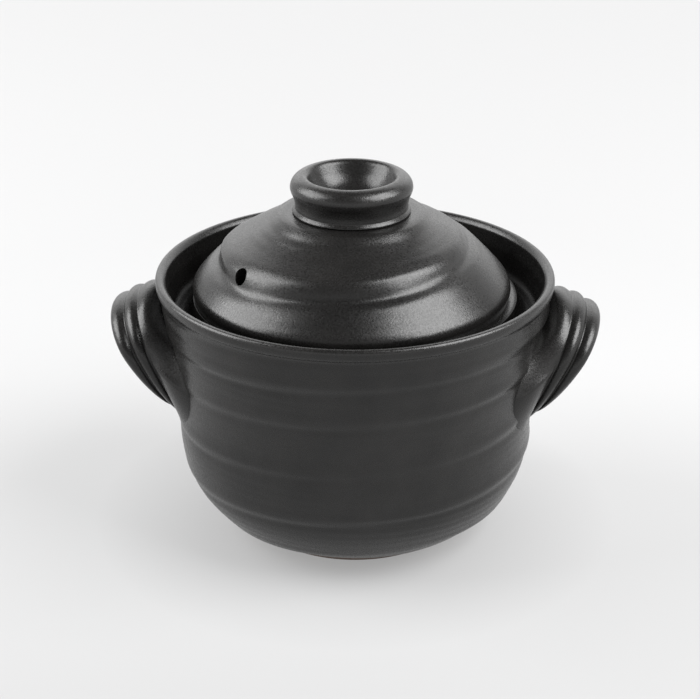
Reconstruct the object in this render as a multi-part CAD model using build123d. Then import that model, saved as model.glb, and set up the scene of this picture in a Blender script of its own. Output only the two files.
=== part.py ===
from build123d import *
import math
import os

os.makedirs("parts", exist_ok=True)

# A lidded clay rice pot. Lengths are in millimetres.
# The origin is the centre of the foot on the table, +Z is up, the ears lie along X, the front is -Y.

# Pot
pot_height = 130.0
rim_radius = 95.0
rim_band_width = 5.0
rim_ridge_inset = 2.0
rim_inner_drop = 2.3
rim_lip_height = 5.2
rim_lip_overhang = 1.6
wall_thickness = 7.5
floor_thickness = 8.0
floor_flat_radius = 38.0
foot_radius = 52.0
foot_width = 7.0
foot_height = 3.0
foot_taper = 1.5

# Seats inside the rim, one for each lid
gutter_width = 12.5
gutter_depth = 6.5
gutter_bottom_share = 0.4
seat_depth = 11.5
seat_width = 7.6
recess_depth = 8.5
inner_seat_width = 7.5
shelf_thickness = 5.0
shelf_flare_height = 18.0

# The throwing bands of the outer wall, from the rim down. Each row holds the height and the radius
# of the band's lower edge and the swell of its middle, as shares of pot_height and rim_radius.
wall_band_shares = (
    (0.831, 0.955, 0.005),
    (0.700, 0.930, 0.005),
    (0.477, 0.904, 0.003),
    (0.285, 0.877, 0.011),
    (0.162, 0.800, 0.010),
    (0.077, 0.686, 0.010),
)
foot_swell_share = 0.010
bowl_band = 3

# Ribbed ears: the base spreads on the wall, the ribs stack from the root to the face. The oval is
# widest at that share of its height from the top.
ear_reach = 23.5
ear_root_drop = 6.8
ear_face_drop = 19.0
ear_root_height = 74.7
ear_face_height = 48.5
ear_base_width = 95.0
ear_root_width = 69.0
ear_face_width = 61.0
ear_root_top_reach = 3.0
ear_root_foot_inset = 21.0
ear_face_foot_inset = 5.7
ear_root_depth = 14.0
ear_base_widest_share = 0.55
ear_widest_share = 0.37
ear_rib_count = 3
ear_rib_relief = 2.0
ear_edge_relief = 3.0
ear_rib_steps = 6
finger_rim_width = 10.0
finger_hollow_depth = 9.0

# Outer lid. It is loose, and lies off the pot's axis towards -X.
lid_side_gap = 1.7
lid_off_centre = 1.6
lid_rise = 41.5
lid_thickness = 6.5
lid_foot_width = 3.2
steam_hole_diameter = 8.0
steam_hole_bearing = 215.0
steam_hole_slope = 45.0

# The dome's outline from the foot up, as shares of the lid's radius and rise. The skirt ends at the
# crease that runs round the dome, and the crown starts there.
skirt_shares = (
    (0.985, 0.000),
    (1.000, 0.105),
    (0.987, 0.185),
    (0.944, 0.277),
    (0.886, 0.398),
    (0.809, 0.542),
)
crown_shares = (
    (0.809, 0.542),
    (0.790, 0.600),
    (0.761, 0.646),
    (0.706, 0.702),
    (0.651, 0.757),
    (0.552, 0.855),
    (0.484, 0.942),
    (0.438, 1.000),
)

# Knob of the outer lid, a turned cup
knob_radius = 28.9
knob_height = 17.9
knob_bowl_depth = 13.6

# The knob's outline from its collar over the lip, as shares of its radius and height
knob_collar_shares = ((0.945, 0.0), (0.962, 0.045), (0.945, 0.085), (0.921, 0.125))
knob_wall_shares = (
    (0.921, 0.125),
    (0.930, 0.340),
    (0.972, 0.520),
    (1.000, 0.665),
    (0.965, 0.850),
    (0.870, 0.965),
    (0.775, 1.000),
)
# The bowl's outline from the lip to its bottom, as shares of the knob's radius and the bowl's depth
knob_bowl_shares = ((0.775, 0.0), (0.710, 0.080), (0.630, 0.400), (0.450, 0.780), (0.230, 0.960), (0.0, 1.0))

# Inner lid and its knob
inner_lid_clearance = 0.8
inner_lid_thickness = 5.5
inner_lid_crown = 2.5
inner_lid_edge_round = 1.8
inner_lid_dish_width = 10.0
inner_lid_dish_depth = 1.5
inner_hole_diameter = 7.0
inner_hole_circle_radius = 38.0
inner_hole_count = 2
inner_knob_radius = 14.0
inner_knob_height = 14.0
inner_knob_waist_radius = 10.5
inner_knob_shares = ((1.0, 0.62), (0.98, 0.86), (0.70, 1.0))

# Every cut runs this far past what it cuts
overrun = 1.0

# Levels and radii that the pieces share
rim_inner_radius = rim_radius - rim_band_width
seat_outer_radius = rim_inner_radius - gutter_width
seat_inner_radius = seat_outer_radius - seat_width
shelf_radius = seat_inner_radius - inner_seat_width
seat_z = pot_height - seat_depth
inner_seat_z = seat_z - recess_depth
shelf_under_z = inner_seat_z - shelf_thickness
flare_z = shelf_under_z - shelf_flare_height
bowl_z = pot_height * wall_band_shares[bowl_band][0]
gutter_bottom_radius = seat_outer_radius + gutter_width * gutter_bottom_share
gutter_bottom_z = seat_z - gutter_depth
floor_z = foot_height + floor_thickness
lid_radius = seat_outer_radius - lid_side_gap
lid_top_z = seat_z + lid_rise
inner_lid_radius = seat_inner_radius - inner_lid_clearance
inner_lid_top_z = inner_seat_z + inner_lid_thickness + inner_lid_crown


def turned(edges):
    """The solid that a closed half section, drawn as radius and height, makes about the Z axis."""
    return revolve(make_face(Plane.XZ * Curve(children=edges)), Axis.Z)


def scaled(shares, radius, height, base):
    """Points of an outline from shares of a radius and of a height above a base level."""
    return [(radius * r, base + height * z) for r, z in shares]


def inside(points, distance):
    """Points a wall thickness in from an outline that runs upwards, square to the line there."""
    result = []
    for i in range(1, len(points) - 1):
        along_r = points[i + 1][0] - points[i - 1][0]
        along_z = points[i + 1][1] - points[i - 1][1]
        step = distance / math.hypot(along_r, along_z)
        result.append((points[i][0] - step * along_z, points[i][1] + step * along_r))
    return result


def wall_points():
    """Lower edges of the throwing bands, as radius and height."""
    return [(rim_radius * r, pot_height * z) for z, r, swell in wall_band_shares]


def outer_edges():
    """The pot's outside, from the ridge of the rim down to the foot ring's lower edge."""
    ridge = (rim_radius - rim_ridge_inset, pot_height)
    widest = (rim_radius, pot_height - rim_lip_height / 2)
    groove = (rim_radius - rim_lip_overhang, pot_height - rim_lip_height)
    foot_top = (foot_radius, foot_height)
    edges = [
        Bezier(ridge, (rim_radius, pot_height), widest),
        Bezier(widest, (rim_radius, pot_height - rim_lip_height), groove),
    ]
    swells = [swell for z, r, swell in wall_band_shares] + [foot_swell_share]
    start = groove
    for end, swell in zip(wall_points() + [foot_top], swells):
        middle = ((start[0] + end[0]) / 2 + rim_radius * swell, (start[1] + end[1]) / 2)
        edges.append(ThreePointArc(start, middle, end))
        start = end
    edges.append(Line(foot_top, (foot_radius - foot_taper, 0)))
    return edges


def pot_block():
    """The space inside the pot's outside, filled, for trimming what is luted to the wall."""
    ridge = (rim_radius - rim_ridge_inset, pot_height)
    closing = [
        Line((foot_radius - foot_taper, 0), (0, 0)),
        Line((0, 0), (0, pot_height)),
        Line((0, pot_height), ridge),
    ]
    return turned(outer_edges() + closing)


def thrown_pot():
    """The whole thrown pot with its foot ring, rolled rim, gutter and the two lid seats."""
    foot_inner = foot_radius - foot_width
    wall = [(r - wall_thickness, z) for r, z in wall_points()]
    bowl_top = wall[bowl_band]
    flare_start = (wall[1][0], flare_z)
    rim_inner = (rim_inner_radius, pot_height - rim_inner_drop)
    ridge = (rim_radius - rim_ridge_inset, pot_height)
    ridge_corner = (rim_radius - (rim_band_width + rim_ridge_inset) / 2, pot_height)
    gutter_bottom = (gutter_bottom_radius, gutter_bottom_z)
    edges = outer_edges() + [
        Line((foot_radius - foot_taper, 0), (foot_inner, 0)),
        Line((foot_inner, 0), (foot_inner - foot_taper, foot_height)),
        Line((foot_inner - foot_taper, foot_height), (0, foot_height)),
        Line((0, foot_height), (0, floor_z)),
        Line((0, floor_z), (floor_flat_radius, floor_z)),
        Bezier((floor_flat_radius, floor_z), (bowl_top[0], floor_z), bowl_top),
        Spline(bowl_top, wall[bowl_band - 1], flare_start),
        Bezier(flare_start, (flare_start[0], shelf_under_z), (shelf_radius, shelf_under_z)),
        Line((shelf_radius, shelf_under_z), (shelf_radius, inner_seat_z)),
        Line((shelf_radius, inner_seat_z), (seat_inner_radius, inner_seat_z)),
        Line((seat_inner_radius, inner_seat_z), (seat_inner_radius, seat_z)),
        Line((seat_inner_radius, seat_z), (seat_outer_radius, seat_z)),
        Bezier((seat_outer_radius, seat_z), (seat_outer_radius, gutter_bottom_z), gutter_bottom),
        Bezier(gutter_bottom, (rim_inner_radius, gutter_bottom_z), rim_inner),
        Bezier(rim_inner, ridge_corner, ridge),
    ]
    return turned(edges)


def below(level):
    """The space under a level, as wide as the pot."""
    block = Cylinder(rim_radius + overrun, level + overrun, align=(Align.CENTER, Align.CENTER, Align.MAX))
    return Pos(0, 0, level) * block


def pot_pieces():
    """The pot in four pieces that meet face to face: bowl, wall, lid seat and rim wall."""
    pot = thrown_pot()
    within = Cylinder(gutter_bottom_radius, pot_height + overrun, align=(Align.CENTER, Align.CENTER, Align.MIN))
    wall = (pot & below(flare_z)) - below(bowl_z)
    upper = pot - below(flare_z)
    return pot & below(bowl_z), wall, upper & within, upper - within


def oval(half_width, upper, lower):
    """An egg-shaped face about its widest line, with its own heights above and below that line."""
    top = EllipticalCenterArc((0, 0), half_width, upper, start_angle=0, arc_size=180)
    bottom = EllipticalCenterArc((0, 0), half_width, lower, start_angle=180, arc_size=180)
    return make_face(Curve(children=[top, bottom]))


def ear_section(share, inset, shift=0):
    """One oval of the ear: share runs from 0 at the root to 1 at the face, shift moves it outwards.

    Gives the plane through the middle of the oval's height, half the width and half the height.
    """
    top_x = rim_radius + ear_root_top_reach + (ear_reach - ear_root_top_reach) * share
    top_z = pot_height - ear_root_drop - (ear_face_drop - ear_root_drop) * share
    foot_inset = ear_root_foot_inset + (ear_face_foot_inset - ear_root_foot_inset) * share
    foot_x = rim_radius - foot_inset
    foot_z = top_z - ear_root_height - (ear_face_height - ear_root_height) * share
    length = math.hypot(top_x - foot_x, top_z - foot_z)
    outward = Vector(top_z - foot_z, 0, foot_x - top_x).normalized()
    centre = Vector((top_x + foot_x) / 2, 0, (top_z + foot_z) / 2) + outward * shift
    half_width = (ear_root_width + (ear_face_width - ear_root_width) * share) / 2
    plane = Plane(origin=centre, x_dir=(0, 1, 0), z_dir=outward)
    return plane, half_width - inset, length / 2 - inset


def ear_oval(section, widest_share):
    """The face of one section, widest at that share of its height from the top."""
    plane, half_width, half_height = section
    upper = 2 * half_height * widest_share
    face = oval(half_width, upper, 2 * half_height - upper)
    return plane * Pos(0, half_height - upper, 0) * face


def ear():
    """The right ear: three rounded ribs stacked outwards from the wall, hollowed for the fingers."""
    base_plane, root_half_width, base_half_height = ear_section(0, 0, -ear_root_depth)
    base = (base_plane, ear_base_width / 2, base_half_height)
    sections = []
    steps = ear_rib_count * ear_rib_steps
    for step in range(steps + 1):
        turn = math.pi * step / ear_rib_steps
        inset = ear_rib_relief * (1 - abs(math.sin(turn)))
        past_crest = (step - steps) / ear_rib_steps * 2 + 1
        if past_crest > 0:
            inset = ear_edge_relief * (1 - math.sqrt(1 - past_crest * past_crest))
        sections.append(ear_section(step / steps, inset))
    ovals = [ear_oval(base, ear_base_widest_share)]
    ovals += [ear_oval(section, ear_widest_share) for section in sections]
    block = loft(ovals, ruled=True)
    face_plane, half_width, half_height = ear_section(1, finger_rim_width)
    hollow = scale(Sphere(1), by=(half_width, half_height, finger_hollow_depth))
    return block - face_plane * hollow - pot_block()


def outer_lid():
    """The domed lid with its steam hole, standing on the outer seat."""
    skirt = scaled(skirt_shares, lid_radius, lid_rise, seat_z)
    crown = scaled(crown_shares, lid_radius, lid_rise, seat_z)
    foot_inner = (skirt[0][0] - lid_foot_width, seat_z)
    under = inside(skirt[:-1] + crown[3:], lid_thickness)
    under_top_z = lid_top_z - lid_thickness
    under = [point for point in under if point[1] < under_top_z and point[0] < foot_inner[0]]
    edges = [
        Spline(*skirt),
        Spline(*crown),
        Line(crown[-1], (0, lid_top_z)),
        Line((0, lid_top_z), (0, under_top_z)),
        Spline((0, under_top_z), *reversed(under), foot_inner),
        Line(foot_inner, skirt[0]),
    ]
    hole_plane = Plane(
        origin=Vector(lid_radius * crown_shares[0][0], 0, seat_z + lid_rise * crown_shares[0][1]),
        z_dir=Vector(1, 0, 0).rotate(Axis.Y, -steam_hole_slope),
    )
    hole = hole_plane * Cylinder(steam_hole_diameter / 2, 2 * (lid_thickness + steam_hole_diameter))
    lid = turned(edges) - hole.rotate(Axis.Z, steam_hole_bearing)
    return Pos(-lid_off_centre, 0, 0) * lid


def lid_knob():
    """The cup-shaped knob, luted to the flat top of the dome."""
    collar = scaled(knob_collar_shares, knob_radius, knob_height, lid_top_z)
    wall = scaled(knob_wall_shares, knob_radius, knob_height, lid_top_z)
    bowl = scaled(knob_bowl_shares, knob_radius, -knob_bowl_depth, lid_top_z + knob_height)
    edges = [
        Spline(*collar),
        Spline(*wall),
        Spline(*bowl),
        Line(bowl[-1], (0, lid_top_z)),
        Line((0, lid_top_z), collar[0]),
    ]
    return Pos(-lid_off_centre, 0, 0) * turned(edges)


def inner_lid():
    """The flat inner lid with its steam holes, resting on the lower seat."""
    dish_radius = inner_lid_radius - inner_lid_dish_width
    dish_z = inner_seat_z + inner_lid_dish_depth
    edge_z = inner_seat_z + inner_lid_thickness
    flat_radius = inner_knob_radius + inner_lid_edge_round
    edges = [
        Line((0, dish_z), (dish_radius - inner_lid_dish_depth, dish_z)),
        Line((dish_radius - inner_lid_dish_depth, dish_z), (dish_radius, inner_seat_z)),
        Line((dish_radius, inner_seat_z), (inner_lid_radius, inner_seat_z)),
        Line((inner_lid_radius, inner_seat_z), (inner_lid_radius, edge_z - inner_lid_edge_round)),
        Bezier(
            (inner_lid_radius, edge_z - inner_lid_edge_round),
            (inner_lid_radius, edge_z),
            (inner_lid_radius - inner_lid_edge_round, edge_z),
        ),
        Bezier(
            (inner_lid_radius - inner_lid_edge_round, edge_z),
            ((inner_lid_radius + flat_radius) / 2, inner_lid_top_z),
            (flat_radius, inner_lid_top_z),
        ),
        Line((flat_radius, inner_lid_top_z), (0, inner_lid_top_z)),
        Line((0, inner_lid_top_z), (0, dish_z)),
    ]
    lid = turned(edges)
    hole_height = inner_lid_thickness + inner_lid_crown + 2 * overrun
    for place in PolarLocations(inner_hole_circle_radius, inner_hole_count):
        hole = Cylinder(inner_hole_diameter / 2, hole_height, align=(Align.CENTER, Align.CENTER, Align.MIN))
        lid -= Pos(0, 0, inner_seat_z - overrun) * place * hole
    return lid


def inner_lid_knob():
    """The small button that lifts the inner lid."""
    cap = scaled(inner_knob_shares, inner_knob_radius, inner_knob_height, inner_lid_top_z)
    top_z = inner_lid_top_z + inner_knob_height
    waist = (inner_knob_waist_radius, (inner_lid_top_z + cap[0][1]) / 2)
    edges = [
        Spline((inner_knob_radius, inner_lid_top_z), waist, cap[0]),
        Spline(*cap),
        Line(cap[-1], (0, top_z)),
        Line((0, top_z), (0, inner_lid_top_z)),
        Line((0, inner_lid_top_z), (inner_knob_radius, inner_lid_top_z)),
    ]
    return turned(edges)


right_ear = ear()
pot_body, pot_wall, lid_seat, pot_rim = pot_pieces()
pieces = {
    "pot_body": pot_body,
    "pot_wall": pot_wall,
    "lid_seat": lid_seat,
    "pot_rim": pot_rim,
    "handle_right": right_ear,
    "handle_left": mirror(right_ear, Plane.YZ),
    "outer_lid": outer_lid(),
    "lid_knob": lid_knob(),
    "inner_lid": inner_lid(),
    "inner_lid_knob": inner_lid_knob(),
}

for name, piece in pieces.items():
    piece.label = name
    export_step(piece, "parts/" + name + ".step")
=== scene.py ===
import math

import bpy
import numpy as np
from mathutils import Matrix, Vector


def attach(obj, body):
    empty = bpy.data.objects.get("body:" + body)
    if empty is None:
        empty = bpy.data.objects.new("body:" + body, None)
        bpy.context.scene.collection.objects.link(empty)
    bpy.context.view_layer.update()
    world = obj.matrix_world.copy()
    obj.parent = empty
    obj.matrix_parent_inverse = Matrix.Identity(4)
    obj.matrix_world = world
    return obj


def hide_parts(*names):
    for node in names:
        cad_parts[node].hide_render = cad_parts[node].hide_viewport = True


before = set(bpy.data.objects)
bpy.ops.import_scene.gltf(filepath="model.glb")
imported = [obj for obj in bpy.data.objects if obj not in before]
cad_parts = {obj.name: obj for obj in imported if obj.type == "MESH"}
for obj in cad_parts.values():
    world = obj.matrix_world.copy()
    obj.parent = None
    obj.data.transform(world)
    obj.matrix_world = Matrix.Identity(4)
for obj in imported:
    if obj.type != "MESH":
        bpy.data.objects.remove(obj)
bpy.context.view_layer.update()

# Lengths are in millimetres, in the frame of the CAD model, and turn into metres in the meshes and
# materials. From the white paper on, lengths are in metres.
MM = 0.001

# Pot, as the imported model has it
POT_HEIGHT = 130.0
RIM_RADIUS = 95.0
RIM_RIDGE_RADIUS = 93.0
RIM_INNER_RADIUS = 90.0
RIM_INNER_DROP = 2.3
RIM_LIP_HEIGHT = 5.2
RIM_GROOVE_RADIUS = 93.2
SEAT_OUTER_RADIUS = 77.5
SEAT_INNER_RADIUS = 69.9
SHELF_RADIUS = 62.4
GUTTER_RADIUS = 82.5
GUTTER_Z = 109.5
SEAT_Z = 118.5
INNER_SEAT_Z = 110.0
SHELF_UNDER_Z = 105.0
FLOOR_Z = 11.0
FOOT_RADIUS = 52.0
FOOT_INNER_RADIUS = 45.0
FOOT_HEIGHT = 3.0
FOOT_TAPER = 1.5

# Lids and knobs
LID_TOP_Z = 160.0
LID_OFF_CENTRE = 1.6
STEAM_HOLE_RADIUS = 4.0
STEAM_HOLE_CIRCLE = 62.0
STEAM_HOLE_Z = 141.0
STEAM_HOLE_BEARING = 218.0
INNER_LID_RADIUS = 69.1
INNER_LID_EDGE_Z = 115.5
INNER_LID_TOP_Z = 118.0
INNER_HOLE_RADIUS = 3.5
INNER_HOLE_CIRCLE = 38.0
# Long enough to pass through either lid
DRILL_LENGTH = 26.0

# Points round a turned piece
SIDES = 288


def corner(start, middle, end, steps):
    """A rounded corner from start to end that bends at middle."""
    t = np.linspace(0, 1, steps + 1)[:, None]
    a, b, c = (np.array(p, float) for p in (start, middle, end))
    return (1 - t) ** 2 * a + 2 * t * (1 - t) * b + t ** 2 * c


def smooth(points, steps):
    """A smooth curve through the points, with that many steps between each two."""
    p = np.array(points, float)
    p = np.vstack([2 * p[0] - p[1], p, 2 * p[-1] - p[-2]])
    t = np.linspace(0, 1, steps, endpoint=False)[:, None]
    rows = []
    for i in range(1, len(p) - 2):
        a, b, c, d = p[i - 1:i + 3]
        rows.append(0.5 * (2 * b + (c - a) * t + (2 * a - 5 * b + 4 * c - d) * t ** 2
                           + (3 * b - a - 3 * c + d) * t ** 3))
    return np.vstack(rows + [p[-2:-1]])


def softened(points, radius, steps=4, spacing=2.0):
    """A polyline with its corners rounded off, and its straight runs divided."""
    p = [np.array(q, float) for q in points]
    rows = [p[0][None]]
    for a, b, c in zip(p, p[1:], p[2:]):
        reach = min(radius, 0.45 * np.linalg.norm(b - a), 0.45 * np.linalg.norm(c - b))
        rows.append(corner(b + (a - b) / np.linalg.norm(a - b) * reach, b,
                           b + (c - b) / np.linalg.norm(c - b) * reach, steps))
    rows.append(p[-1][None])
    line = np.vstack(rows)
    out = [line[:1]]
    for a, b in zip(line, line[1:]):
        n = max(1, int(math.ceil(np.linalg.norm(b - a) / spacing)))
        out.append(a + (b - a) * (np.arange(1, n + 1) / n)[:, None])
    return np.vstack(out)


def joined(*parts):
    """One outline from several, without the points that repeat."""
    line = np.vstack(parts)
    keep = np.r_[True, np.linalg.norm(np.diff(line, axis=0), axis=1) > 1e-4]
    return line[keep]


def make_object(name, points, faces, material):
    mesh = bpy.data.meshes.new(name)
    mesh.from_pydata((np.asarray(points) * MM).tolist(), [], faces)
    mesh.update()
    mesh.polygons.foreach_set("use_smooth", [True] * len(mesh.polygons))
    mesh.materials.append(material)
    piece = bpy.data.objects.new(name, mesh)
    bpy.context.scene.collection.objects.link(piece)
    return piece


def tube_faces(rows, around):
    """Faces of a tube of rows of points, closed at its start and its end onto one more point each."""
    faces = []
    for i in range(rows - 1):
        for j in range(around):
            k = (j + 1) % around
            faces.append((i * around + j, i * around + k, (i + 1) * around + k, (i + 1) * around + j))
    start, end = rows * around, rows * around + 1
    for j in range(around):
        k = (j + 1) % around
        faces.append((start, k, j))
        faces.append((end, (rows - 1) * around + j, (rows - 1) * around + k))
    return faces


def turned(name, outline, material, relief=None):
    """A turned piece: the outline starts and ends on the axis, and relief moves the surface along its
    normal by relief(angle, radius, height) millimetres."""
    line = np.asarray(outline, float)
    along = np.gradient(line, axis=0)
    along /= np.linalg.norm(along, axis=1)[:, None]
    normal = np.stack([along[:, 1], -along[:, 0]], 1)
    angle = np.linspace(0, 2 * math.pi, SIDES, endpoint=False)
    r = np.repeat(line[1:-1, 0][:, None], SIDES, 1)
    z = np.repeat(line[1:-1, 1][:, None], SIDES, 1)
    if relief is not None:
        lift = relief(angle[None, :], r, z)
        r = r + lift * normal[1:-1, 0][:, None]
        z = z + lift * normal[1:-1, 1][:, None]
    grid = np.stack([r * np.cos(angle), r * np.sin(angle), z], -1)
    points = np.vstack([grid.reshape(-1, 3), [[0, 0, line[0, 1]], [0, 0, line[-1, 1]]]])
    return make_object(name, points, tube_faces(len(grid), SIDES), material)


def hump(distance, width):
    """1 in the middle, falling off smoothly over the width to both sides."""
    return np.exp(-(distance / width) ** 2)


# Materials

def node(tree, kind, **values):
    made = tree.nodes.new(kind)
    for key, value in values.items():
        if hasattr(made, key):
            setattr(made, key, value)
        else:
            made.inputs[key.replace("_", " ")].default_value = value
    return made


def object_noise(tree, scale, detail=2.0, roughness=0.5):
    """Noise in the piece's own coordinates: scale counts features in a metre."""
    place = node(tree, "ShaderNodeTexCoord")
    noise = node(tree, "ShaderNodeTexNoise", Scale=scale, Detail=detail, Roughness=roughness)
    tree.links.new(place.outputs["Object"], noise.inputs["Vector"])
    return noise.outputs["Fac"]


def spread(tree, source, low, high, to_low, to_high):
    """A value remapped from low..high to to_low..to_high, held at both ends."""
    made = node(tree, "ShaderNodeMapRange", clamp=True)
    made.inputs["From Min"].default_value = low
    made.inputs["From Max"].default_value = high
    made.inputs["To Min"].default_value = to_low
    made.inputs["To Max"].default_value = to_high
    tree.links.new(source, made.inputs["Value"])
    return made.outputs["Result"]


def blended(tree, amount, first, second):
    mix = node(tree, "ShaderNodeMix", data_type="RGBA")
    tree.links.new(amount, mix.inputs["Factor"])
    colour = {socket.name: socket for socket in mix.inputs if socket.type == "RGBA"}
    for socket, value in ((colour["A"], first), (colour["B"], second)):
        if isinstance(value, tuple):
            socket.default_value = (*value, 1.0)
        else:
            tree.links.new(value, socket)
    return next(socket for socket in mix.outputs if socket.type == "RGBA")


def product(tree, first, *others):
    """The product of several values."""
    for other in others:
        both = node(tree, "ShaderNodeMath", operation="MULTIPLY")
        tree.links.new(first, both.inputs[0])
        tree.links.new(other, both.inputs[1])
        first = both.outputs[0]
    return first


def object_place(tree):
    """The piece's own coordinates in metres: whole, and parted into X, Y and Z."""
    place = node(tree, "ShaderNodeTexCoord")
    parted = node(tree, "ShaderNodeSeparateXYZ")
    tree.links.new(place.outputs["Object"], parted.inputs["Vector"])
    return place.outputs["Object"], parted.outputs


def vector_length(tree, vector):
    made = node(tree, "ShaderNodeVectorMath", operation="LENGTH")
    tree.links.new(vector, made.inputs[0])
    return made.outputs["Value"]


def band(tree, source, limits):
    """1 between the two middle limits and 0 outside the outer two, which are in millimetres."""
    rise_from, rise_to, fall_from, fall_to = (limit * MM for limit in limits)
    return product(tree, spread(tree, source, rise_from, rise_to, 0.0, 1.0),
                   spread(tree, source, fall_from, fall_to, 1.0, 0.0))


GLAZE_DARK = (0.0042, 0.0040, 0.0038)
GLAZE_LIGHT = (0.0092, 0.0087, 0.0083)
CLAY_DARK = (0.080, 0.054, 0.041)
CLAY_LIGHT = (0.125, 0.088, 0.068)

GLAZE_ROUGHNESS = 0.31
INNER_GLAZE_ROUGHNESS = 0.27
ROUGHNESS_SWING = 0.09
CLAY_ROUGHNESS = 0.85
GLAZE_IOR = 1.46
GLAZE_SPECULAR = 0.5
# The glaze's reflection in the gutter, turned down as painted shade
GUTTER_SHADE_SPECULAR = 0.06

# Features in a metre: clouds of tone, the grain, soft bumps and the wander of the glaze's lower edge
CLOUD_SCALE = 38.0
GRAIN_SCALE = 1200.0
BUMP_SCALE = 240.0
EDGE_SCALE = 90.0
GRAIN_HEIGHT = 0.12
GRAIN_STRENGTH = 0.5
BUMP_HEIGHT = 0.6
BUMP_STRENGTH = 0.10

# Where the pot's clay is bare, how wide the glaze's lower edge is, and how far it wanders
BARE_HEIGHT = 9.5
BARE_EDGE = 0.7
EDGE_WANDER = 1.6

# Heights and radii of the gutter's painted shade, where the glaze reflects less, from fade to fade
GUTTER_SHADE_HEIGHTS = (105.5, 106.5, 119.5, 122.5)
GUTTER_SHADE_RADII = (75.5, 76.5, 89.5, 90.0)


def bare_clay(tree):
    """1 on the foot's bare clay, 0 on the glaze, with a wandering edge."""
    edge = node(tree, "ShaderNodeMath", operation="MULTIPLY_ADD")
    tree.links.new(object_noise(tree, EDGE_SCALE, detail=3.0), edge.inputs[0])
    edge.inputs[1].default_value = EDGE_WANDER * MM
    tree.links.new(object_place(tree)[1]["Z"], edge.inputs[2])
    return spread(tree, edge.outputs[0], BARE_HEIGHT * MM, (BARE_HEIGHT + BARE_EDGE) * MM, 1.0, 0.0)


def gutter_painted_shade(tree):
    """1 in the gutter round the lids' seats, where the glaze's reflection is turned down as painted shade, 0
    elsewhere.
    """
    place, parted = object_place(tree)
    level = node(tree, "ShaderNodeVectorMath", operation="MULTIPLY")
    tree.links.new(place, level.inputs[0])
    level.inputs[1].default_value = (1.0, 1.0, 0.0)
    radius = vector_length(tree, level.outputs[0])
    return product(tree, band(tree, parted["Z"], GUTTER_SHADE_HEIGHTS), band(tree, radius, GUTTER_SHADE_RADII))


def glaze(name, roughness=GLAZE_ROUGHNESS, on_pot=False):
    """Charcoal-black stoneware glaze: satin, with a fine grain that breaks up its highlights.

    On the pot it stops above the foot, where the clay is bare, and reflects less in the gutter as painted
    shade.
    """
    material = bpy.data.materials.new(name)
    material.use_nodes = True
    tree = material.node_tree
    shader = tree.nodes["Principled BSDF"]
    cloud = object_noise(tree, CLOUD_SCALE, detail=4.0, roughness=0.6)
    grain = object_noise(tree, GRAIN_SCALE, detail=2.0, roughness=0.6)
    tone = blended(tree, spread(tree, cloud, 0.35, 0.65, 0.0, 1.0), GLAZE_DARK, GLAZE_LIGHT)
    sheen = spread(tree, grain, 0.3, 0.7, roughness - ROUGHNESS_SWING, roughness + ROUGHNESS_SWING)
    if on_pot:
        bare = bare_clay(tree)
        clay = blended(tree, spread(tree, grain, 0.3, 0.7, 0.0, 1.0), CLAY_DARK, CLAY_LIGHT)
        tone = blended(tree, bare, tone, clay)
        rougher = node(tree, "ShaderNodeMath", operation="MAXIMUM")
        tree.links.new(sheen, rougher.inputs[0])
        tree.links.new(spread(tree, bare, 0.0, 1.0, 0.0, CLAY_ROUGHNESS), rougher.inputs[1])
        sheen = rougher.outputs[0]
        # In the gutter the glaze's reflection is turned down: painted shade
        specular = spread(tree, gutter_painted_shade(tree), 0.0, 1.0, GLAZE_SPECULAR, GUTTER_SHADE_SPECULAR)
        tree.links.new(specular, shader.inputs["Specular IOR Level"])
    tree.links.new(tone, shader.inputs["Base Color"])
    tree.links.new(sheen, shader.inputs["Roughness"])
    fine = node(tree, "ShaderNodeBump", Strength=GRAIN_STRENGTH, Distance=GRAIN_HEIGHT * MM)
    tree.links.new(grain, fine.inputs["Height"])
    soft = node(tree, "ShaderNodeBump", Strength=BUMP_STRENGTH, Distance=BUMP_HEIGHT * MM)
    tree.links.new(object_noise(tree, BUMP_SCALE, detail=2.0), soft.inputs["Height"])
    tree.links.new(fine.outputs["Normal"], soft.inputs["Normal"])
    tree.links.new(soft.outputs["Normal"], shader.inputs["Normal"])
    shader.inputs["IOR"].default_value = GLAZE_IOR
    return material


black_glaze = glaze("black_glaze")
pot_glaze = glaze("pot_glaze", on_pot=True)
inner_glaze = glaze("inner_glaze", roughness=INNER_GLAZE_ROUGHNESS)


# Pot

def wave(angle, *terms):
    """A slow variation round the pot: terms of waves, size and phase."""
    return sum(size * np.sin(count * angle + phase) for count, size, phase in terms)


FRONT = -math.pi / 2
# Heights at which the thrower's spiral ridge passes the front, one turn after another
WALL_SPIRAL_LEVELS = (-12.0, 12.0, 38.0, 63.0, 89.5, 108.2, 125.0, 140.0)
WALL_RIDGE = 0.80
# Across the ridge: where its crest and its groove lie above its line, how wide and how large they are
WALL_CREST = {"rise": 2.4, "width": 3.8}
WALL_GROOVE = {"rise": -1.6, "width": 2.3, "share": 0.8}
# Fine turning lines
LINE_HEIGHT = 0.05

OUTER_WALL = ((93.1, 122.4), (92.2, 115.0), (90.9, 108.0), (89.7, 100.0), (88.4, 90.0), (87.2, 80.0),
              (86.2, 68.0), (85.9, 58.0), (85.4, 48.0), (84.3, 40.0), (82.4, 33.0), (79.6, 26.5),
              (75.6, 20.3), (70.4, 14.3), (64.6, 9.4), (58.6, 5.6), (54.4, 3.5), (52.3, 2.4))


def wall_radius(z):
    """The wall's outer radius at a height."""
    line = np.array(OUTER_WALL[::-1])
    return np.interp(z, line[:, 1], line[:, 0])


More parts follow.
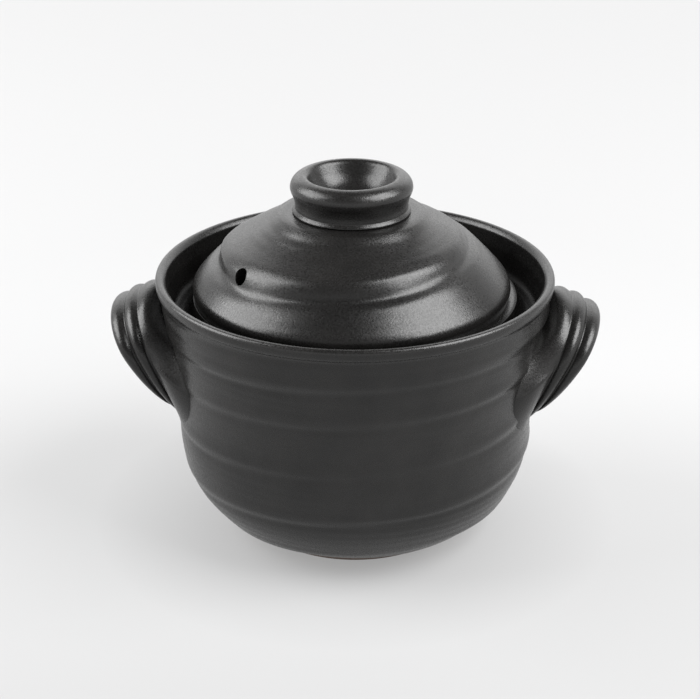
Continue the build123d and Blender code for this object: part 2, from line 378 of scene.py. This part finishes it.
def wall_relief(angle, r, z):
    """The thrower's spiral ridge and fine turning lines, on the outside of the wall alone."""
    turn = ((angle - FRONT) / (2 * math.pi)) % 1.0
    lift = np.zeros(np.broadcast(angle, z).shape)
    levels = np.array(WALL_SPIRAL_LEVELS)
    for first, second in zip(levels, levels[1:]):
        above = z - (first + (second - first) * turn)
        lift += hump(above - WALL_CREST["rise"], WALL_CREST["width"])
        lift -= WALL_GROOVE["share"] * hump(above - WALL_GROOVE["rise"], WALL_GROOVE["width"])
    uneven = 0.8 + wave(angle, (1, 0.25, 0.6), (3, 0.18, 2.0)) + 0.15 * np.sin(z / 9.0 + 2 * angle)
    fine = LINE_HEIGHT * np.sin(z * 1.45 + angle) * (0.6 + 0.4 * np.sin(z / 7.0 + 3 * angle))
    on_wall = (z < POT_HEIGHT - RIM_LIP_HEIGHT - 1) & (z > FOOT_HEIGHT + 3)
    return np.where(on_wall & (r > wall_radius(z) - 3.0), WALL_RIDGE * uneven * lift + fine, 0.0)


FLOOR_FLAT_RADIUS = 38.0
BOWL_TOP = (75.8, 37.0)
WALL_INNER_MIDDLE = (78.4, 62.0)
WALL_INNER_TOP = (80.85, 87.0)
SHELF_ROOT_RADIUS = 66.5
SEAT_EDGE = 1.0
FOOT_EDGE = 0.7
RIM_SHOULDER_RADIUS = 91.5
RIM_GROOVE_DROP = 0.9
GUTTER_SIDE = ((GUTTER_RADIUS, GUTTER_Z), (86.4, 110.3), (88.5, 113.2), (89.3, 118.0), (89.8, 123.0))


def pot_outline():
    """From the middle of the floor up the inside, over the rim and down the outside to the foot."""
    lip_foot = POT_HEIGHT - RIM_LIP_HEIGHT
    lip_top = (RIM_RIDGE_RADIUS, POT_HEIGHT)
    widest = (RIM_RADIUS, POT_HEIGHT - RIM_LIP_HEIGHT / 2)
    groove = (RIM_GROOVE_RADIUS, lip_foot - RIM_GROOVE_DROP)
    rim_inner = (RIM_INNER_RADIUS, POT_HEIGHT - RIM_INNER_DROP)
    shelf_root = (SHELF_ROOT_RADIUS, SHELF_UNDER_Z)
    gutter_lip = (SEAT_OUTER_RADIUS, SEAT_Z - SEAT_EDGE)
    seats = [shelf_root, (SHELF_RADIUS, SHELF_UNDER_Z), (SHELF_RADIUS, INNER_SEAT_Z),
             (SEAT_INNER_RADIUS, INNER_SEAT_Z), (SEAT_INNER_RADIUS, SEAT_Z), (SEAT_OUTER_RADIUS, SEAT_Z),
             gutter_lip]
    foot = [OUTER_WALL[-1], (FOOT_RADIUS - FOOT_TAPER, 0.0), (FOOT_INNER_RADIUS, 0.0),
            (FOOT_INNER_RADIUS - FOOT_TAPER, FOOT_HEIGHT), (0.0, FOOT_HEIGHT)]
    return joined(
        softened([(0.0, FLOOR_Z), (FLOOR_FLAT_RADIUS, FLOOR_Z)], SEAT_EDGE, spacing=4.0),
        corner((FLOOR_FLAT_RADIUS, FLOOR_Z), (BOWL_TOP[0], FLOOR_Z), BOWL_TOP, 24),
        smooth([BOWL_TOP, WALL_INNER_MIDDLE, WALL_INNER_TOP], 12),
        corner(WALL_INNER_TOP, (WALL_INNER_TOP[0], SHELF_UNDER_Z), shelf_root, 14),
        softened(seats, SEAT_EDGE, 5),
        corner(gutter_lip, (SEAT_OUTER_RADIUS, GUTTER_Z), (GUTTER_RADIUS, GUTTER_Z), 10),
        smooth([*GUTTER_SIDE, rim_inner], 6),
        corner(rim_inner, (RIM_SHOULDER_RADIUS, POT_HEIGHT), lip_top, 8),
        corner(lip_top, (RIM_RADIUS, POT_HEIGHT), widest, 8),
        corner(widest, (RIM_RADIUS, lip_foot - RIM_GROOVE_DROP / 3), groove, 8),
        smooth(OUTER_WALL, 9),
        softened(foot, FOOT_EDGE, 3),
    )


# Ears

EAR_RIBS = 3
EAR_RIB_RELIEF = 2.0
EAR_ROOT = {"top": (98.0, 123.2), "foot": (74.0, 48.5), "half_width": 34.5}
EAR_FACE = {"top": (118.5, 111.0), "foot": (89.3, 62.5), "half_width": 30.5}
# Share of an oval's height, from its top, at which it is widest
EAR_WIDEST = 0.37
# Where the ear spreads on the wall: heights of its top, widest line and foot, and half its width
EAR_BASE = {"top": 121.5, "widest": 82.0, "foot": 52.5, "half_width": 43.5}
# How far the first rib swells out over a straight line from the wall to its groove
EAR_FIRST_RIB = 2.4
EAR_FACE_EDGE = 3.0
EAR_HOLLOW = 9.0
# Shares of the way from the face's middle to its edge between which the hollow deepens
HOLLOW_EDGE_SHARE = 0.86
HOLLOW_FLAT_SHARE = 0.30
# How far the ear's first visible row lies under the wall's surface, and the rows that close it inside
EAR_SUNK = 0.6
EAR_BURIED = 2.2
BURIED_SHARES = (0.05, 0.25, 0.5, 0.75, 0.9, 0.98)
# Points round a quarter of the ear, and rows across its ribs and its face
EAR_ROUND = 34
EAR_ACROSS = 48
EAR_FACE_ROWS = 21


def ear_loop(share, inset, turn):
    """Points round one oval of the ear: x outwards, y forwards and back, z up."""
    oval = {key: np.array(EAR_ROOT[key]) * (1 - share) + np.array(EAR_FACE[key]) * share for key in EAR_ROOT}
    top, foot = oval["top"], oval["foot"]
    half_width = oval["half_width"] - inset
    long = np.linalg.norm(top - foot)
    rise = -np.cos(turn)
    along = rise * (np.where(rise > 0, long * EAR_WIDEST, long * (1 - EAR_WIDEST)) - inset)
    widest = top + (foot - top) * EAR_WIDEST
    up = (top - foot) / long
    return np.stack([widest[0] + up[0] * along, half_width * np.sin(turn), widest[1] + up[1] * along], -1)


def ear_base_loop(turn, depth, size=1.0):
    """The ear's outline on the wall, that far under the wall's surface: broad below, drawn in above."""
    rise = -np.cos(turn)
    reach = np.where(rise > 0, EAR_BASE["top"] - EAR_BASE["widest"], EAR_BASE["widest"] - EAR_BASE["foot"])
    z = EAR_BASE["widest"] + size * rise * reach
    across = np.sin(turn)
    y = EAR_BASE["half_width"] * size * np.where(rise > 0, across * np.abs(across) ** 1.4, across)
    r = wall_radius(z)
    x = np.sqrt(r ** 2 - y ** 2)
    shrink = (r - depth) / r
    return np.stack([x * shrink, y * shrink, z], -1)


def ear_ribs(turn):
    """Rows of points across the ribs, from the wall to the edge of the face."""
    base = ear_base_loop(turn, EAR_SUNK)
    groove = ear_loop(1 / EAR_RIBS, EAR_RIB_RELIEF, turn)
    aside = np.stack([0 * turn + 0.25, np.sin(turn), -0.7 * np.cos(turn)], -1)
    above = 1 + 2.2 * np.clip(-2.5 * np.cos(turn), 0, 1)
    rows = []
    for step in range(EAR_ACROSS + 1):
        rib = EAR_RIBS * step / EAR_ACROSS
        swell = abs(math.sin(math.pi * rib)) ** 0.8
        if rib < 1:
            row = base * (1 - rib) + groove * rib
            row[:, 1] = groove[:, 1] + (base[:, 1] - groove[:, 1]) * (1 - rib) ** above
            rows.append(row + aside * EAR_FIRST_RIB * swell)
            continue
        inset = EAR_RIB_RELIEF * (1 - swell)
        past_crest = (rib - EAR_RIBS + 0.5) * 2
        if past_crest > 0:
            inset = EAR_FACE_EDGE * (1 - math.sqrt(max(0.0, 1 - past_crest ** 2)))
        rows.append(ear_loop(rib / EAR_RIBS, inset, turn))
    return rows


def ear(name, side, material):
    """A ribbed ear: ovals from inside the wall out to the face, then in again to the finger hollow."""
    turn = np.linspace(0, 2 * math.pi, 4 * EAR_ROUND, endpoint=False)
    rows = [ear_base_loop(turn, EAR_BURIED, size) for size in BURIED_SHARES] + ear_ribs(turn)
    top, foot = (np.array([EAR_FACE[k][0], 0, EAR_FACE[k][1]]) for k in ("top", "foot"))
    centre = (top + foot) / 2
    outward = np.array([top[2] - foot[2], 0, foot[0] - top[0]]) / np.linalg.norm(top - foot)
    edge = rows[-1] - centre
    for step in range(1, EAR_FACE_ROWS):
        share = 1 - step / EAR_FACE_ROWS
        inwards = (HOLLOW_EDGE_SHARE - share) / (HOLLOW_EDGE_SHARE - HOLLOW_FLAT_SHARE)
        inwards = min(1.0, max(0.0, inwards))
        rows.append(centre + edge * share - outward * EAR_HOLLOW * inwards ** 2 * (3 - 2 * inwards))
    middle = centre - outward * EAR_HOLLOW
    points = np.vstack([*rows, rows[0].mean(0)[None], middle[None]])
    points[:, :2] *= side
    return make_object(name, points, tube_faces(len(rows), len(turn)), material)


# Lids

SKIRT = ((74.7, 118.5), (75.6, 121.3), (75.8, 123.3), (74.9, 126.0), (71.7, 130.0), (67.2, 135.0),
         (62.4, 140.0))
CROWN = ((57.2, 144.9), (50.0, 149.6), (42.4, 154.0), (37.6, 157.2), (34.4, 159.4))
LID_FLAT_EDGE = (32.0, LID_TOP_Z)
DOME_UNDER = ((71.5, 118.5), (69.5, 122.3), (65.9, 127.6), (61.5, 132.4), (54.4, 138.8), (46.4, 143.8),
              (38.6, 148.2), (31.4, 151.8), (24.0, 153.4), (12.0, 153.6), (0.0, 153.6))
# Radius at which the lid's spiral ridge passes each bearing, from the left round the front to the right
LID_RIDGE_BEARINGS = (-215.0, -191.0, -160.0, -140.0, -112.0, -71.0, -46.0, -10.0, 40.0)
LID_RIDGE_RADII = (60.0, 60.0, 60.3, 59.6, 57.6, 55.0, 53.0, 50.2, 46.0)
LID_RIDGE = 1.45
# Across the ridge: the widths of its inner and outer slopes and of the groove outside it, and the groove's
# distance and size; at the left the groove is nearer and deeper
RIDGE_INNER_WIDTH = 7.0
RIDGE_OUTER_WIDTH = {"right": 3.4, "left": 2.5}
RIDGE_GROOVE = {"width": 2.4, "right": 6.6, "left": 4.4, "share": 0.85, "left_share": 1.35}
COLLAR_GROOVE = {"radius": 38.6, "width": 2.2, "depth": 0.15}


def lid_relief(angle, r, z):
    """The spiral ridge on the dome's upper side, from the back left round the front to the right."""
    bearing = (np.degrees(angle) + 215.0) % 360.0 - 215.0
    fade = np.clip((bearing + 215.0) / 30.0, 0, 1) * np.clip((60.0 - bearing) / 60.0, 0, 1)
    left = np.clip((-135.0 - bearing) / 30.0, 0, 1)
    out = r - np.interp(bearing, LID_RIDGE_BEARINGS, LID_RIDGE_RADII)
    outer_width = RIDGE_OUTER_WIDTH["right"] * (1 - left) + RIDGE_OUTER_WIDTH["left"] * left
    groove_out = RIDGE_GROOVE["right"] * (1 - left) + RIDGE_GROOVE["left"] * left
    groove_share = RIDGE_GROOVE["share"] * (1 - left) + RIDGE_GROOVE["left_share"] * left
    ridge = hump(out, np.where(out < 0, RIDGE_INNER_WIDTH, outer_width))
    ridge = ridge - groove_share * hump(out - groove_out, RIDGE_GROOVE["width"])
    collar = -COLLAR_GROOVE["depth"] * hump(r - COLLAR_GROOVE["radius"], COLLAR_GROOVE["width"])
    fine = LINE_HEIGHT * np.sin(r * 1.3 + angle) * (0.6 + 0.4 * np.sin(r / 6.0 + 2 * angle))
    under = np.array(DOME_UNDER[::-1])
    top = z > np.interp(r, under[:, 0], under[:, 1]) + 2.5
    return np.where(top & (r < 74.5) & (r > 30.0), LID_RIDGE * ridge * fade + collar + fine, 0.0)


def lid_outline():
    return joined(
        smooth(DOME_UNDER[::-1], 6),
        softened([DOME_UNDER[0], SKIRT[0]], 0.5),
        smooth(SKIRT + CROWN, 12),
        softened([CROWN[-1], LID_FLAT_EDGE, (0.0, LID_TOP_Z)], 2.5, 6),
    )


KNOB_FOOT = ((27.3, 160.0), (27.9, 160.7), (27.4, 161.6), (26.7, 162.3))
KNOB_WALL = (KNOB_FOOT[-1], (26.8, 165.0), (27.4, 167.6), (28.4, 170.0), (28.9, 172.2), (28.3, 174.6),
             (26.6, 176.6), (24.4, 177.7), (22.3, 177.9))
KNOB_BOWL = ((20.7, 176.9), (19.4, 174.6), (17.6, 171.4), (14.6, 168.0), (10.4, 165.6), (5.4, 164.5),
             (0.0, 164.3))


def knob_outline():
    return joined(
        softened([(0.0, LID_TOP_Z), KNOB_FOOT[0]], 0.5, spacing=3.0),
        smooth(KNOB_FOOT, 4),
        smooth(KNOB_WALL + KNOB_BOWL, 7),
    )


INNER_LID_UNDER_Z = 111.5
INNER_LID_STEP = (59.2, 60.7)
INNER_LID_SHOULDER_RADIUS = 68.9
INNER_LID_CROWN_RADIUS = 42.0
INNER_LID_FLAT_RADIUS = 15.8
INNER_KNOB = ((14.0, INNER_LID_TOP_Z), (11.2, 120.0), (10.5, 122.4), (11.8, 125.0), (14.0, 127.0),
              (13.9, 129.6), (11.6, 131.4), (8.0, 132.0), (0.0, 132.0))


def inner_lid_outline():
    rest_inner, rest_outer = INNER_LID_STEP
    edge = (INNER_LID_RADIUS, INNER_LID_EDGE_Z)
    shoulder = (INNER_LID_SHOULDER_RADIUS, INNER_LID_EDGE_Z)
    flat_edge = (INNER_LID_FLAT_RADIUS, INNER_LID_TOP_Z)
    return joined(
        softened([(0.0, INNER_LID_UNDER_Z), (rest_inner, INNER_LID_UNDER_Z), (rest_outer, INNER_SEAT_Z),
                  (INNER_LID_RADIUS, INNER_SEAT_Z), edge], 0.5, 3),
        corner((INNER_LID_RADIUS, INNER_LID_EDGE_Z - 1.8), edge, shoulder, 5),
        corner(shoulder, (INNER_LID_CROWN_RADIUS, INNER_LID_TOP_Z), flat_edge, 24),
        softened([flat_edge, (0.0, INNER_LID_TOP_Z)], 0.5),
    )


def inner_knob_outline():
    return joined(
        softened([(0.0, INNER_LID_TOP_Z), INNER_KNOB[0]], 0.5, spacing=3.0),
        smooth(INNER_KNOB, 5),
    )


pot = turned("pot", pot_outline()[::-1], pot_glaze, wall_relief)
left_ear = ear("left_ear", -1, black_glaze)
right_ear = ear("right_ear", 1, black_glaze)
dome = turned("dome", lid_outline(), black_glaze, lid_relief)
knob = turned("knob", knob_outline(), black_glaze)
flat_lid = turned("flat_lid", inner_lid_outline(), inner_glaze)
flat_lid_knob = turned("flat_lid_knob", inner_knob_outline(), inner_glaze)


def drilled(piece, centre, direction, radius, depth):
    """A round hole through the piece, with a smooth wall."""
    bpy.ops.mesh.primitive_cylinder_add(vertices=48, radius=radius * MM, depth=depth * MM,
                                        location=[c * MM for c in centre])
    cutter = bpy.context.object
    cutter.rotation_mode = "QUATERNION"
    cutter.rotation_quaternion = Vector(direction).to_track_quat("Z", "Y")
    cut = piece.modifiers.new("hole", "BOOLEAN")
    cut.operation = "DIFFERENCE"
    cut.solver = "EXACT"
    cut.object = cutter
    bpy.context.view_layer.objects.active = piece
    piece.select_set(True)
    bpy.ops.object.modifier_apply(modifier=cut.name)
    bpy.data.objects.remove(cutter)
    piece.data.set_sharp_from_angle(angle=math.radians(40))


bearing = math.radians(STEAM_HOLE_BEARING)
to_hole = np.array([math.cos(bearing), math.sin(bearing), 0.0])
hole_centre = to_hole * STEAM_HOLE_CIRCLE + np.array([0.0, 0.0, STEAM_HOLE_Z])
hole_out = (to_hole + np.array([0.0, 0.0, 1.0])) * math.sqrt(0.5)
drilled(dome, hole_centre, hole_out, STEAM_HOLE_RADIUS, DRILL_LENGTH)
for sign in (-1, 1):
    inner_hole_centre = (sign * INNER_HOLE_CIRCLE, 0.0, INNER_SEAT_Z)
    drilled(flat_lid, inner_hole_centre, (0, 0, 1), INNER_HOLE_RADIUS, DRILL_LENGTH)
for piece in (dome, knob):
    piece.location.x = -LID_OFF_CENTRE * MM
bpy.context.view_layer.update()

for piece, nodes, body in (
    (pot, ("pot_body", "pot_wall", "lid_seat", "pot_rim"), "pot"),
    (left_ear, ("handle_left",), "pot"),
    (right_ear, ("handle_right",), "pot"),
    (flat_lid, ("inner_lid",), "inner_lid_set"),
    (flat_lid_knob, ("inner_lid_knob",), "inner_lid_set"),
    (dome, ("outer_lid",), "outer_lid_set"),
    (knob, ("lid_knob",), "outer_lid_set"),
):
    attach(piece, body)
    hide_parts(*nodes)


# Floor, light and camera

# Lengths of the studio are in metres
PAPER_NEAR = (0.13, 0.13, 0.13065)
PAPER_FAR = (0.22, 0.22, 0.2211)
# How strongly the paper glows: round the pot, far from it, and up the wall behind it
PAPER_GLOW = 0.48
FAR_GLOW = 0.80
WALL_GLOW = 1.15
# Under the pot the glow is weaker, by this factor: a painted contact shadow
PAINTED_CONTACT_SHADOW = 0.66


def white_paper():
    """White paper that glows a little, so that its white stays even, with a painted contact shadow under the
    pot, where it glows less.
    """
    paper = bpy.data.materials.new("white_paper")
    paper.use_nodes = True
    tree = paper.node_tree
    shader = tree.nodes["Principled BSDF"]
    place, parted = object_place(tree)
    behind = spread(tree, parted["Y"], -0.35, 0.15, 0.0, 1.0)
    tree.links.new(blended(tree, behind, PAPER_NEAR, PAPER_FAR), shader.inputs["Base Color"])
    reach = vector_length(tree, place)
    sideways = node(tree, "ShaderNodeMath", operation="ABSOLUTE")
    tree.links.new(parted["X"], sideways.inputs[0])
    on_wall = product(tree, spread(tree, parted["Z"], 0.10, 0.90, 0.0, WALL_GLOW),
                      spread(tree, sideways.outputs[0], 1.8, 2.6, 1.0, 0.0))
    # Round the pot's foot the glow dims as a painted contact shadow; farther out it grows so that the white
    # stays even
    on_floor = product(tree, spread(tree, reach, 0.05, 0.13, PAINTED_CONTACT_SHADOW, 1.0),
                       spread(tree, reach, 0.4, 3.0, PAPER_GLOW, FAR_GLOW))
    glow = node(tree, "ShaderNodeMath", operation="ADD")
    tree.links.new(on_wall, glow.inputs[0])
    tree.links.new(on_floor, glow.inputs[1])
    tree.links.new(glow.outputs[0], shader.inputs["Emission Strength"])
    shader.inputs["Emission Color"].default_value = (1.0, 1.0, 1.0, 1.0)
    shader.inputs["Roughness"].default_value = 1.0
    shader.inputs["Specular IOR Level"].default_value = 0.0
    return paper


SWEEP_FRONT_Y = -2.6
SWEEP_BEND_Y = 1.6
SWEEP_BEND_RADIUS = 1.2
SWEEP_TOP_Z = 3.4
SWEEP_HALF_WIDTH = 4.0
SWEEP_BEND_STEPS = 24


def backdrop():
    """A white sweep: the floor runs back and turns up behind the pot."""
    line = [(SWEEP_FRONT_Y, 0.0), (SWEEP_BEND_Y, 0.0)]
    for step in range(1, SWEEP_BEND_STEPS + 1):
        a = math.pi / 2 * step / SWEEP_BEND_STEPS
        line.append((SWEEP_BEND_Y + SWEEP_BEND_RADIUS * math.sin(a), SWEEP_BEND_RADIUS * (1 - math.cos(a))))
    line.append((SWEEP_BEND_Y + SWEEP_BEND_RADIUS, SWEEP_TOP_Z))
    points = [(x, y, z) for y, z in line for x in (-SWEEP_HALF_WIDTH, SWEEP_HALF_WIDTH)]
    faces = [(2 * i, 2 * i + 1, 2 * i + 3, 2 * i + 2) for i in range(len(line) - 1)]
    return make_object("sweep", np.array(points) / MM, faces, white_paper())


backdrop()


# What both lamps aim at
LAMP_AIM = Vector((0.0, 0.0, 0.12))
LAMP_DISTANCE = 1.5
LAMP_WIDTH = 1.2
LAMP_HEIGHT = 1.1


def softbox(name, bearing_deg, rise_deg, power):
    light = bpy.data.lights.new(name, "AREA")
    light.shape = "RECTANGLE"
    light.size, light.size_y = LAMP_WIDTH, LAMP_HEIGHT
    light.energy = power
    lamp = bpy.data.objects.new(name, light)
    around, up = math.radians(bearing_deg), math.radians(rise_deg)
    back = Vector((math.cos(around) * math.cos(up), math.sin(around) * math.cos(up), math.sin(up)))
    lamp.location = LAMP_AIM + LAMP_DISTANCE * back
    lamp.rotation_euler = (-back).to_track_quat("-Z", "Y").to_euler()
    bpy.context.scene.collection.objects.link(lamp)


softbox("right_softbox", bearing_deg=-16.0, rise_deg=43.0, power=46.0)
softbox("left_softbox", bearing_deg=180.0, rise_deg=33.0, power=34.0)

# How bright the studio is: for the height of the direction, its share of the brightest
STUDIO_LIGHT = 1.5
STUDIO_SHARES = ((0.0, 1.0), (0.25, 0.40), (0.6, 0.12), (1.0, 0.09))


def studio():
    """Bright at the horizon, dim overhead."""
    world = bpy.data.worlds.new("studio")
    world.use_nodes = True
    tree = world.node_tree
    direction = node(tree, "ShaderNodeTexCoord")
    parted = node(tree, "ShaderNodeSeparateXYZ")
    tree.links.new(direction.outputs["Generated"], parted.inputs["Vector"])
    ramp = node(tree, "ShaderNodeValToRGB")
    stops = ramp.color_ramp.elements
    for height, share in STUDIO_SHARES:
        stop = stops[0] if height == 0.0 else stops[-1] if height == 1.0 else stops.new(height)
        stop.color = (share, share, share, 1.0)
    tree.links.new(parted.outputs["Z"], ramp.inputs["Fac"])
    tree.links.new(ramp.outputs["Color"], tree.nodes["Background"].inputs["Color"])
    tree.nodes["Background"].inputs["Strength"].default_value = STUDIO_LIGHT
    return world


bpy.context.scene.world = studio()
bpy.context.scene.view_settings.view_transform = "Standard"

IMAGE_WIDTH_PX = 700
FOCAL_PX = 1886.0
AXIS_SHIFT_PX = 5.0
CAMERA_DISTANCE = 0.900
CAMERA_RISE = math.radians(21.8)
CAMERA_PITCH = math.radians(24.22)
CAMERA_BEARING = math.radians(2.4)
SENSOR_MM = 36.0

lens = bpy.data.cameras.new("camera")
lens.sensor_fit = "HORIZONTAL"
lens.sensor_width = SENSOR_MM
lens.lens = SENSOR_MM * FOCAL_PX / IMAGE_WIDTH_PX
lens.shift_x = -AXIS_SHIFT_PX / IMAGE_WIDTH_PX
camera = bpy.data.objects.new("camera", lens)
camera.location = (CAMERA_DISTANCE * math.cos(CAMERA_RISE) * math.sin(CAMERA_BEARING),
                   -CAMERA_DISTANCE * math.cos(CAMERA_RISE) * math.cos(CAMERA_BEARING),
                   POT_HEIGHT * MM + CAMERA_DISTANCE * math.sin(CAMERA_RISE))
camera.rotation_euler = (math.pi / 2 - CAMERA_PITCH, 0.0, CAMERA_BEARING)
bpy.context.scene.collection.objects.link(camera)
bpy.context.scene.camera = camera
